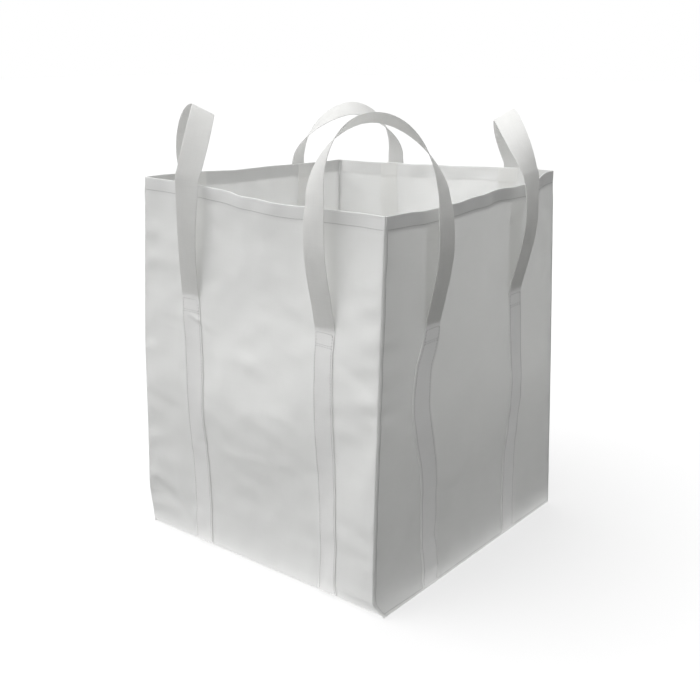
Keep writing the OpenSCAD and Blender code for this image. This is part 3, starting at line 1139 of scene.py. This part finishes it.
# suns: (name, power, the way the light goes, whether it casts a shadow)
SUNS = [
    ("key", 1.47, (0.42, 0.44, -0.80), True),
    ("fill", 0.50, (0.0, 0.60, -0.80), False),
]
SUN_ANGLE = math.radians(55)
# how far the glowing card reaches beyond the bag's foot, on both sides together
BOUNCE_WIDTH = 0.10
BOUNCE_POWER = 1.7
BOUNCE_Z = -0.002
# the camera's place, the compass direction and downward tilt of its view in degrees, and its lens in mm
CAMERA_PLACE = (1.863, -2.353, 1.475)
CAMERA_HEADING = math.radians(128.72)
CAMERA_PITCH = math.radians(16.96)
CAMERA_LENS = 51.2


def look_rotation(direction):
    """The rotation that makes a light or a camera look in a direction."""
    return Vector(direction).to_track_quat("-Z", "Y").to_euler()


def studio_sky():
    """A soft sky over a dark ground, brighter on the left, for lighting; the camera sees plain white."""
    nodes = Nodes(bpy.data.worlds.new("studio"))
    direction = nodes.add("ShaderNodeTexCoord").outputs["Generated"]
    towards = nodes.add("ShaderNodeSeparateXYZ", i0=direction).outputs
    level = nodes.math("MULTIPLY_ADD", towards["Z"], 0.5, 0.5)
    brightness = nodes.add("ShaderNodeFloatCurve", Value=level)
    points = brightness.mapping.curves[0].points
    points[0].location = (0.0, SKY_BELOW)
    points[1].location = (1.0, SKY_ZENITH)
    points.new(0.44, SKY_BELOW)
    points.new(0.56, SKY_HORIZON)
    brightness.mapping.update()
    leaning = nodes.math("MULTIPLY_ADD", towards["X"], SKY_LEANING, 1.0)
    strength = nodes.math("MULTIPLY", brightness.outputs["Value"], leaning)
    lighting = nodes.add("ShaderNodeBackground", Color=WHITE, Strength=strength).outputs[0]
    backdrop = nodes.add("ShaderNodeBackground", Color=WHITE, Strength=BACKDROP).outputs[0]
    seen = nodes.add("ShaderNodeLightPath").outputs["Is Camera Ray"]
    either = nodes.add("ShaderNodeMixShader", i0=seen, i1=lighting, i2=backdrop).outputs[0]
    bpy.context.scene.world = nodes.finished(either, "ShaderNodeOutputWorld")


def plane(name, size, z, material):
    """A square level plane that isn't part of the bag."""
    bpy.ops.mesh.primitive_plane_add(size=size, location=(0, 0, z))
    obj = bpy.context.object
    obj.name = name
    obj.data.materials.append(material)
    return obj


def bounce_card():
    """A glowing card just below the floor round the bag's foot, which lights the walls' lower edges."""
    nodes = new_material("bounce")
    glow = nodes.finished(nodes.glowing(WHITE, BOUNCE_POWER))
    card = plane("bounce_card", 2 * BASE_HALF + BOUNCE_WIDTH, BOUNCE_Z, glow)
    card.visible_camera = False
    card.visible_glossy = False


def studio_sun(name, power, direction, casts_shadow):
    """A large soft sun."""
    sun = bpy.data.lights.new(name, "SUN")
    sun.energy = power
    sun.angle = SUN_ANGLE
    sun.use_shadow = casts_shadow
    light = bpy.data.objects.new(name, sun)
    light.rotation_euler = look_rotation(direction)
    bpy.context.scene.collection.objects.link(light)


def photo_camera():
    """The camera, at the photo's angle."""
    camera = bpy.data.cameras.new("camera")
    camera.lens = CAMERA_LENS
    camera.sensor_width = 36
    obj = bpy.data.objects.new("camera", camera)
    obj.location = CAMERA_PLACE
    level = math.cos(CAMERA_PITCH)
    view = (level * math.cos(CAMERA_HEADING), level * math.sin(CAMERA_HEADING), -math.sin(CAMERA_PITCH))
    obj.rotation_euler = look_rotation(view)
    bpy.context.scene.collection.objects.link(obj)
    bpy.context.scene.camera = obj


def stage():
    """A pale floor, soft studio light and the camera."""
    floor = plane("floor", FLOOR_SIZE, FLOOR_Z, floor_material())
    floor.visible_diffuse = False
    bounce_card()
    studio_sky()
    for sun in SUNS:
        studio_sun(*sun)
    bpy.context.scene.view_settings.view_transform = "Standard"
    photo_camera()


# ---------------------------------------------------------------- build

# the backing strips, each behind the sewn strap on one side of a wall
BACKINGS = [
    (FRONT, 1, "front_wall_right_backing"),
    (FRONT, -1, "front_wall_left_backing"),
    (RIGHT, -1, "right_wall_front_backing"),
    (RIGHT, 1, "right_wall_back_backing"),
    (BACK, -1, "back_wall_right_backing"),
    (BACK, 1, "back_wall_left_backing"),
    (LEFT, 1, "left_wall_front_backing"),
    (LEFT, -1, "left_wall_back_backing"),
]


def build():
    """All of the bag's pieces; the panels, backing strips and stitches ride on the bag's body."""
    cloth, lining, webbing = [fabric_material(name) for name in FABRICS]
    thread = thread_material()
    panels = [u_panel(cloth), side_panel(RIGHT, cloth), side_panel(LEFT, cloth)]
    strips = [backing_strip(wall, side, name, lining) for wall, side, name in BACKINGS]
    threads = [hem_stitches(thread), seam_stitches(RIGHT, thread), seam_stitches(LEFT, thread)]
    threads += [strap_stitches(corner, thread) for corner in range(4)]
    for corner in range(4):
        loop(corner, webbing)
    for pieces, slot in ((panels, "cloth"), (strips, "backing"), (threads, "thread")):
        for piece in pieces:
            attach(piece, "bag")


build()
stage()
